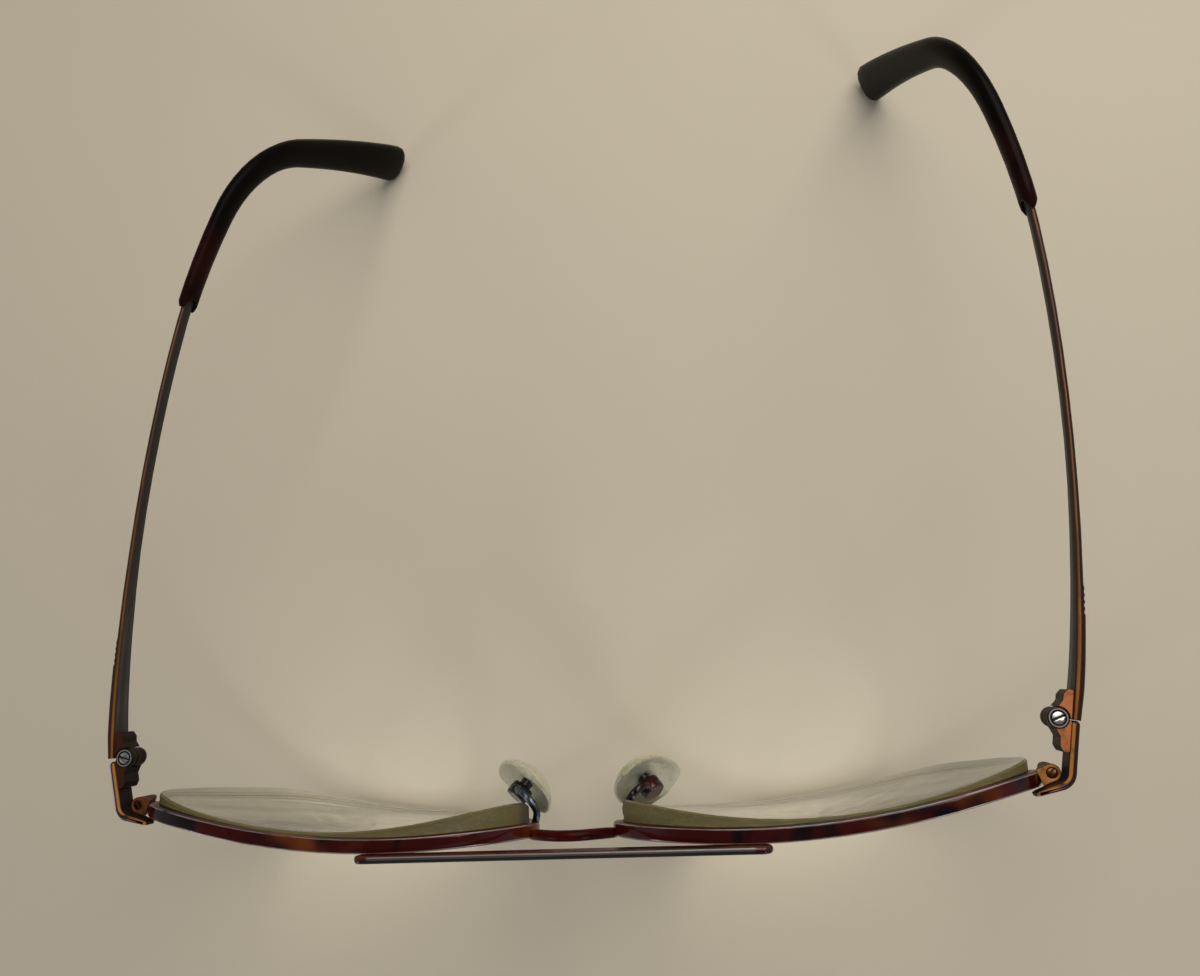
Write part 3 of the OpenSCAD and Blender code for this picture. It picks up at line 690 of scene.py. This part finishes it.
class SPECTACLES_OT_lenses(bpy.types.Operator):
    """Makes both lenses clear glass with a ground edge"""

    bl_idname = "spectacles.lenses"
    bl_label = "Lenses"

    def execute(self, context):
        tints, wear = settings().colours, settings().wear
        finish = Finish(
            "lens_glass",
            Transmission_Weight=1.0,
            Roughness=0.12,
            IOR=1.5,
        )
        smear = finish.grades(finish.noise(SMEAR, 3.0, warp=1.5, seed=2.0), 0.45, 0.8)
        finish.paint(finish.between(smear, tints.glass, tuple(c * 0.985 for c in tints.glass)))
        ground = Finish("ground_edge", Transmission_Weight=0.08, IOR=1.5)
        cloud = ground.noise(wear.mottle * 2, 4.0)
        tone = ground.between(cloud, tuple(c * 0.75 for c in tints.glass_edge), tints.glass_edge)
        streaks = ground.grades(ground.noise(wear.grain * 2, 3.0, (9, 1, 1), seed=5.0), 0.45, 0.75)
        tone = ground.between(streaks, tone, tuple(c * 1.25 for c in tints.glass_edge))
        specks = ground.grades(ground.noise(wear.grain * 1.6, 2.0, seed=7.0), 0.60, 0.72)
        tone = ground.between(
            ground.maths("MULTIPLY", specks, wear.specks), tone, tints.dust
        )
        shaded = ground.grades(ground.towards((0, 0, 1)), 0.45, 0.05)
        tone = ground.between(shaded, tone, tints.glass_foot)
        # Painted light: seen from inside the glass, the ground edge gets a lighter tone
        inside = ground.node("NewGeometry", {}, output="Backfacing")
        ground.paint(ground.between(inside, tone, tints.glass_inside_light))
        ground.rough(cloud, 0.42, 0.62)
        join_edge(finish, ground)
        for side in SIDES:
            soften("lens_" + side, wear.chamfer, 1)
            dress("lens_" + side, finish)
        return {"FINISHED"}


def join_edge(clear, ground):
    """Puts the ground finish on the lens's edge and lets lamps through its clear faces."""
    for old in list(ground.nodes):
        if old.type == "OUTPUT_MATERIAL":
            ground.nodes.remove(old)
    moved = {}
    for old in ground.nodes:
        copy = clear.nodes.new(old.bl_idname)
        for key in ("operation", "interpolation_type", "data_type"):
            if hasattr(old, key):
                setattr(copy, key, getattr(old, key))
        for mine, theirs in zip(copy.inputs, old.inputs):
            if hasattr(theirs, "default_value"):
                mine.default_value = theirs.default_value
        moved[old] = copy
    for link in ground.links:
        start = list(link.from_node.outputs).index(link.from_socket)
        end = list(link.to_node.inputs).index(link.to_socket)
        clear.links.new(
            moved[link.from_node].outputs[start], moved[link.to_node].inputs[end]
        )
    edge = moved[ground.shader].outputs[0]
    side = clear.maths("ABSOLUTE", clear.towards((0, 1, 0)))
    face = clear.grades(side, 0.80, 0.86)
    through = clear.node("BsdfTransparent", {"Color": settings().colours.glass})
    lamp = clear.node("LightPath", {}, output="Is Shadow Ray")
    glass = clear.node("MixShader", {0: lamp, 1: clear.shader.outputs[0], 2: through})
    both = clear.node("MixShader", {0: face, 1: edge, 2: glass})
    clear.feed(clear.nodes["Material Output"].inputs["Surface"], both)
    bpy.data.materials.remove(ground.material)


class SPECTACLES_OT_endpieces(bpy.types.Operator):
    """Finishes the bent strips, the closing blocks and their screws"""

    bl_idname = "spectacles.endpieces"
    bl_label = "Endpieces and closing blocks"

    def execute(self, context):
        tints, wear = settings().colours, settings().wear
        blocks = {"left": tints.copper_gold, "right": tuple(c * 0.4 for c in tints.copper)}
        golds = {"left": tints.copper_gold, "right": tuple(c * 0.8 for c in tints.copper_gold)}
        # The right strip's outer face gets a painted silver reflection
        outers = {"left": tints.strip_edge, "right": tints.strip_out_reflection}
        for side in SIDES:
            strip = copper_finish(
                "strip_" + side,
                golds[side],
                tints.bronze,
                side,
                STRIP_TURN,
                outer=outers[side],
                rim=tints.strip_edge,
            )
            soften("endpiece_" + side, wear.strip_edge * 1.2, 4)
            dress("endpiece_" + side, strip)
            block = copper_finish(
                "block_" + side, blocks[side], tints.copper_dark, side, tarnish=0.15
            )
            for half in ("upper", "lower"):
                soften(f"closing_block_{half}_{side}", wear.edge * 1.6, 3)
                dress(f"closing_block_{half}_{side}", block)
            screw = "lock_screw_" + side
            low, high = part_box(screw)
            middle = tuple((low + high) / 2)
            bright = tuple(c * 0.6 for c in blocks[side])
            soften(screw, wear.edge * 0.6)
            # The lock screws' slots get painted shade in dark copper
            copper = screw_finish(
                "lock_copper_" + side, screw, middle, bright, tints.copper_dark, LOCK_HEAD
            )
            dress(screw, copper)
        return {"FINISHED"}


class SPECTACLES_OT_hinges(bpy.types.Operator):
    """Finishes the hinge leaves and the hinge screws"""

    bl_idname = "spectacles.hinges"
    bl_label = "Hinges"

    def execute(self, context):
        tints, wear = settings().colours, settings().wear
        for side in SIDES:
            axis = tuple(JOINTS[f"temple_{side}_hinge"]["pos_m"])
            top = tints.copper if side == "left" else tuple(c * 0.10 for c in tints.copper)
            leaf = copper_finish("leaf_" + side, top, tints.bronze, side, LEAF_TURN, 0.15)
            away = leaf.from_axis(axis)
            ring = leaf.maths("MULTIPLY", leaf.up, leaf.grades(away, *KNUCKLE_RING))
            grey = leaf.between(
                leaf.within(away, *BRIGHT_RING, RING_BLUR),
                tints.bronze,
                tuple(c * 0.36 for c in tints.steel),
            )
            leaf.paint(leaf.between(ring, leaf.tone, grey))
            for part in ("front", "rear"):
                soften(f"hinge_{part}_{side}", wear.edge)
                dress(f"hinge_{part}_{side}", leaf)
            screw = "hinge_screw_" + side
            soften(screw, wear.edge * 0.6)
            steel = screw_finish(
                "screw_steel_" + side, screw, axis, tints.steel, tints.steel_dark, HINGE_HEAD
            )
            dress(screw, steel)
        return {"FINISHED"}


class SPECTACLES_OT_temples(bpy.types.Operator):
    """Finishes the temples, with a copper stripe along their upper edges"""

    bl_idname = "spectacles.temples"
    bl_label = "Temples"

    def execute(self, context):
        tints, wear = settings().colours, settings().wear
        for side in SIDES:
            name = "temple_" + side
            finish = Finish(
                "temple_lacquer_" + side, Coat_Roughness=0.15, Specular_IOR_Level=0.06
            )
            streaks = finish.noise(wear.mottle * 1.6, 4.0, (0.5, 4, 0.5), 0.4, 4.0)
            inner = finish.between(
                finish.grades(streaks, 0.35, 0.7),
                tuple(c * 0.5 for c in tints.temple),
                tints.temple,
            )
            start = tuple(JOINTS[name + "_hinge"]["pos_m"])
            near = finish.grades(finish.from_point(start), *COPPER_REACH, False)
            patches = finish.grades(
                finish.noise(wear.tortoise * 0.8, 3.0, (0.6, 2, 0.6), 0.5, 12.0), 0.42, 0.62
            )
            line = finish.between(near, tuple(c * 0.55 for c in tints.stripe), tints.stripe)
            line = finish.between(finish.maths("MAXIMUM", patches, near), tints.temple_top, line)
            inner = finish.between(near, tuple(c * 0.4 for c in tints.temple), inner)
            facing = finish.towards((0, 0, 1))
            way = finish.towards(outward(side))
            ridge = finish.within(way, -0.45, -0.06, 0.07)
            tarnish = tuple(c * 0.8 for c in tints.copper_dark)
            brown = finish.between(near, tints.temple_top, tarnish)
            top = finish.between(ridge, brown, line)
            seen = finish.grades(facing, 0.35, 0.65)
            tone = finish.between(seen, inner, top)
            out = finish.grades(way, 0.08, 0.34)
            finish.paint(finish.between(out, tone, tints.strip_edge))
            finish.feed(finish.shader.inputs["Coat Weight"], finish.maths("MULTIPLY", seen, 0.3))
            finish.feed(finish.shader.inputs["Metallic"], finish.maths("MULTIPLY", seen, 0.3))
            finish.rough(streaks, 0.24, 0.46)
            finish.emboss(finish.noise(wear.grain, 4.0), GRAIN, 0.4)
            soften(name, limit=ROUND_BELOW)
            dress(name, finish)
        return {"FINISHED"}


class SPECTACLES_OT_sleeves(bpy.types.Operator):
    """Finishes the sleeves on the temple tips"""

    bl_idname = "spectacles.sleeves"
    bl_label = "Sleeves"

    def execute(self, context):
        tints, wear = settings().colours, settings().wear
        for side in SIDES:
            name = "temple_tip_" + side
            low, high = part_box(name)
            finish = Finish(
                "sleeve_plastic_" + side, IOR=1.45, Specular_IOR_Level=0.04, Coat_Roughness=0.2
            )
            mouth = Vector(((low.x + high.x) / 2, low.y, high.z))
            mouth.x = high.x if side == "left" else low.x
            red = finish.grades(finish.from_point(tuple(mouth)), *MOUTH_REACH)
            cloud = finish.noise(SLEEVE_CLOUD, 3.0, (1, 2, 1), 0.6, 6.0)
            red = finish.maths("MULTIPLY", red, finish.grades(cloud, 0.30, 0.62))
            tone = finish.between(red, tints.sleeve, tints.sleeve_mouth)
            rest = finish.grades(finish.height(), *END_REACH)
            tone = finish.between(rest, tone, tints.sleeve_end)
            haze = finish.noise(wear.grain * 4, 5.0, seed=8.0)
            finish.paint(tone)
            ridge = finish.grades(finish.towards((0, 0, 1)), 0.90, 0.99)
            finish.feed(finish.shader.inputs["Coat Weight"], finish.maths("MULTIPLY", ridge, 0.03))
            finish.rough(haze, 0.24, 0.42)
            finish.emboss(haze, SLEEVE_DEPTH, 0.5)
            soften(name, limit=ROUND_BELOW)
            dress(name, finish)
        return {"FINISHED"}


class SPECTACLES_OT_pad_fittings(bpy.types.Operator):
    """Finishes the arms, boxes, screws and studs that carry the nose pads"""

    bl_idname = "spectacles.pad_fittings"
    bl_label = "Pad fittings"

    def execute(self, context):
        tints, wear = settings().colours, settings().wear
        steel = steel_finish("pad_steel", tuple(c * 0.35 for c in tints.steel))
        worn = steel_finish("worn_arm", WORN_ARM)
        red = lacquer_finish("pad_lacquer", amber=0.3, worn=0.0)
        black = Finish("blackened_box", Metallic=0.4, Coat_Weight=0.5, Coat_Roughness=0.15)
        spots = black.grades(black.noise(wear.mottle * 0.5, 3.0, seed=4.0), 0.45, 0.75)
        black.paint(black.between(spots, tints.lacquer_deep, WORN_BOX))
        black.rough(spots, 0.25, 0.5)
        black.emboss(black.noise(wear.grain, 4.0), GRAIN, 0.5)
        for side in SIDES:
            soften("pad_arm_" + side)
            dress("pad_arm_" + side, red if side == "left" else worn)
            soften("pad_box_" + side, wear.edge * 2.5, 3)
            dress("pad_box_" + side, red if side == "left" else black)
            for part in ("pad_screw_", "pad_stud_"):
                soften(part + side, wear.edge * 0.5)
            dress("pad_screw_" + side, steel)
            dress("pad_stud_" + side, black)
        return {"FINISHED"}


def swell(away, place, spread):
    """A smooth hump of height 1 about a place."""
    return math.exp(-((away - place) ** 2) / spread)


def pad_point(shape, height, turn):
    """A point of a nose pad: height from -1 to 1, turn round the section. X is towards the nose."""
    width = shape.width / 2 * math.sqrt(1 - abs(height) ** PAD_OUTLINE) * (1 - PAD_TAPER * height)
    depth = shape.thickness / 2 * (1 - PAD_THINNING * height * height)
    across = math.copysign(abs(math.cos(turn)) ** PAD_SECTION, math.cos(turn)) * width
    through = math.copysign(abs(math.sin(turn)) ** PAD_SECTION, math.sin(turn)) * depth
    away = (2 * across / shape.width) ** 2 + height * height
    if through < 0:
        hollow = swell(math.sqrt(away), *PAD_HOLLOW)
        collar = swell(math.sqrt(away), *PAD_COLLAR)
        through += shape.dish * hollow - shape.boss * collar
    return Vector(
        (
            shape.reach + shape.thickness / 2 + through - shape.bow * away,
            across,
            height * shape.height / 2,
        )
    )


class SPECTACLES_OT_nose_pads(bpy.types.Operator):
    """Moulds the soft nose pads"""

    bl_idname = "spectacles.nose_pads"
    bl_label = "Nose pads"

    def execute(self, context):
        shape, tints, wear = settings().pads, settings().colours, settings().wear
        clear, hazy = PAD_CLEAR
        finish = Finish(
            "pad_rubber",
            Transmission_Weight=0.86,
            IOR=1.41,
            Coat_Weight=0.15,
            Coat_Roughness=0.2,
        )
        streaks = finish.noise(PAD_STREAK, 4.0, (0.5, 0.5, 2.4), 1.6, 1.0)
        milk = finish.grades(streaks, 0.50, 0.70)
        tone = finish.between(milk, tints.pad, tints.pad_haze)
        stains = finish.grades(finish.noise(PAD_STAIN, 3.0, seed=14.0), 0.70, 0.78)
        finish.paint(finish.between(stains, tone, tints.pad_stain))
        cloudy = finish.maths("MAXIMUM", finish.maths("MULTIPLY", milk, 0.5), stains)
        finish.feed(
            finish.shader.inputs["Transmission Weight"],
            finish.node("MapRange", {"Value": cloudy, "To Min": clear, "To Max": hazy}),
        )
        finish.rough(streaks, 0.22, 0.45)
        finish.emboss(finish.noise(wear.grain * 3, 4.0, seed=3.0), PAD_DEPTH, 0.5)
        for side, way in SIDES.items():
            points = []
            for ring in range(PAD_RINGS + 1):
                height = math.sin(math.pi * (ring / PAD_RINGS - 0.5)) * PAD_TIP
                for step in range(PAD_SIDES):
                    points.append(pad_point(shape, height, 2 * math.pi * step / PAD_SIDES))
            faces = []
            for ring in range(PAD_RINGS):
                for step in range(PAD_SIDES):
                    first = ring * PAD_SIDES + step
                    second = ring * PAD_SIDES + (step + 1) % PAD_SIDES
                    faces.append((first, second, second + PAD_SIDES, first + PAD_SIDES))
            faces.append(tuple(reversed(range(PAD_SIDES))))
            faces.append(tuple(range(PAD_RINGS * PAD_SIDES, (PAD_RINGS + 1) * PAD_SIDES)))
            turned = Matrix.Rotation(math.pi - shape.splay, 4, "Z") @ Matrix.Rotation(
                shape.tilt, 4, "Y"
            )
            mirror = Matrix.Diagonal((way, 1, 1, 1))
            pivot = Vector(JOINTS[f"nose_pad_{side}_rock"]["pos_m"])
            placed = Matrix.Translation(pivot) @ mirror @ turned
            mesh = bpy.data.meshes.new("soft_pad_" + side)
            mesh.from_pydata([placed @ point for point in points], [], faces)
            if way < 0:
                mesh.flip_normals()
            mesh.shade_smooth()
            pad = bpy.data.objects.new("soft_pad_" + side, mesh)
            context.scene.collection.objects.link(pad)
            mesh.materials.append(finish.material)
            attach(pad, "nose_pad_" + side)
            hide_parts("nose_pad_" + side)
        return {"FINISHED"}


def lamp(name, place, aim, size, power, tint):
    """A square soft lamp that points at aim."""
    light = bpy.data.lights.new(name, "AREA")
    light.size = size
    light.energy = power
    light.color = tint
    made = bpy.data.objects.new(name, light)
    bpy.context.scene.collection.objects.link(made)
    made.location = place
    made.rotation_mode = "QUATERNION"
    made.rotation_quaternion = (Vector(aim) - Vector(place)).to_track_quat("-Z", "Y")


def light_room(strength, overhead):
    """A soft room that is bright low down and dim overhead, and warmer on the window's side."""
    world = bpy.data.worlds.new("room")
    world.use_nodes = True
    nodes, links = world.node_tree.nodes, world.node_tree.links
    where = nodes.new("ShaderNodeTexCoord")
    split = nodes.new("ShaderNodeSeparateXYZ")
    rise = nodes.new("ShaderNodeMapRange")
    rise.interpolation_type = "SMOOTHSTEP"
    rise.inputs["From Min"].default_value = ROOM_RISE[0]
    rise.inputs["From Max"].default_value = ROOM_RISE[1]
    rise.inputs["To Min"].default_value = 1.0
    rise.inputs["To Max"].default_value = overhead
    tint = nodes.new("ShaderNodeMix")
    tint.data_type = "RGBA"
    tint.inputs[6].default_value = ROOM_COOL
    tint.inputs[7].default_value = ROOM_WARM
    power = nodes.new("ShaderNodeMath")
    power.operation = "MULTIPLY"
    power.inputs[1].default_value = strength
    sky = nodes["Background"]
    links.new(where.outputs["Generated"], split.inputs[0])
    links.new(split.outputs["Z"], rise.inputs["Value"])
    links.new(split.outputs["Y"], tint.inputs[0])
    links.new(rise.outputs[0], power.inputs[0])
    links.new(power.outputs[0], sky.inputs["Strength"])
    links.new(tint.outputs[2], sky.inputs["Color"])
    bpy.context.scene.world = world


class SPECTACLES_OT_stage(bpy.types.Operator):
    """Sets the table, the lamps and the camera"""

    bl_idname = "spectacles.stage"
    bl_label = "Stage"

    def execute(self, context):
        stage = settings().stage
        half = stage.table_side / 2
        mesh = bpy.data.meshes.new("table")
        corners = [(-half, -half, 0), (half, -half, 0), (half, half, 0), (-half, half, 0)]
        mesh.from_pydata(corners, [], [(0, 1, 2, 3)])
        table = bpy.data.objects.new("table", mesh)
        context.scene.collection.objects.link(table)
        finish = Finish("table_top", Roughness=0.62)
        tint = settings().colours.table
        cloud = finish.noise(TABLE_CLOUD, 3.0, warp=0.5)
        finish.paint(finish.between(cloud, tuple(c * 0.93 for c in tint), tint))
        finish.emboss(finish.noise(TABLE_GRAIN, 4.0), TABLE_DEPTH, 0.3)
        mesh.materials.append(finish.material)

        lamp("window", WINDOW_PLACE, WINDOW_AIM, WINDOW_SIZE, stage.window, WARM)
        lamp("side_window", SIDE_PLACE, FILLER_AIM, FILLER_SIZE, stage.filler, COOL)
        lamp("front_window", FRONT_PLACE, FILLER_AIM, FILLER_SIZE, stage.filler, COOL)
        light_room(stage.room, stage.overhead)
        context.scene.view_settings.view_transform = "Standard"

        view = bpy.data.cameras.new("camera")
        view.sensor_width = 36.0
        view.lens = stage.focal
        view.clip_start = 0.005
        view.clip_end = 20.0
        camera = bpy.data.objects.new("camera", view)
        context.scene.collection.objects.link(camera)
        forward = Vector(stage.camera_forward).normalized()
        right = forward.cross(Vector(stage.camera_up)).normalized()
        axes = Matrix((right, right.cross(forward), -forward)).transposed()
        camera.matrix_world = Matrix.Translation(Vector(stage.camera_place)) @ axes.to_4x4()
        context.scene.camera = camera
        return {"FINISHED"}


STEPS = (
    SPECTACLES_OT_rims,
    SPECTACLES_OT_bars,
    SPECTACLES_OT_lenses,
    SPECTACLES_OT_endpieces,
    SPECTACLES_OT_hinges,
    SPECTACLES_OT_temples,
    SPECTACLES_OT_sleeves,
    SPECTACLES_OT_pad_fittings,
    SPECTACLES_OT_nose_pads,
    SPECTACLES_OT_stage,
)


class SPECTACLES_PT_panel(bpy.types.Panel):
    """Lists the steps that finish the spectacle frame"""

    bl_idname = "SPECTACLES_PT_panel"
    bl_label = "Spectacle frame"
    bl_space_type = "VIEW_3D"
    bl_region_type = "UI"
    bl_category = "Spectacles"

    def draw(self, context):
        for step in STEPS:
            self.layout.operator(step.bl_idname)


CLASSES = (
    SpectacleColours,
    SpectacleWear,
    SpectaclePads,
    SpectacleStage,
    SpectacleSettings,
    *STEPS,
    SPECTACLES_PT_panel,
)


def register():
    for made in CLASSES:
        bpy.utils.register_class(made)
    bpy.types.Scene.spectacles = bpy.props.PointerProperty(type=SpectacleSettings)


def unregister():
    del bpy.types.Scene.spectacles
    for made in reversed(CLASSES):
        bpy.utils.unregister_class(made)


def main():
    register()
    for step in STEPS:
        group, name = step.bl_idname.split(".")
        getattr(getattr(bpy.ops, group), name)()


if __name__ == "__main__":
    main()
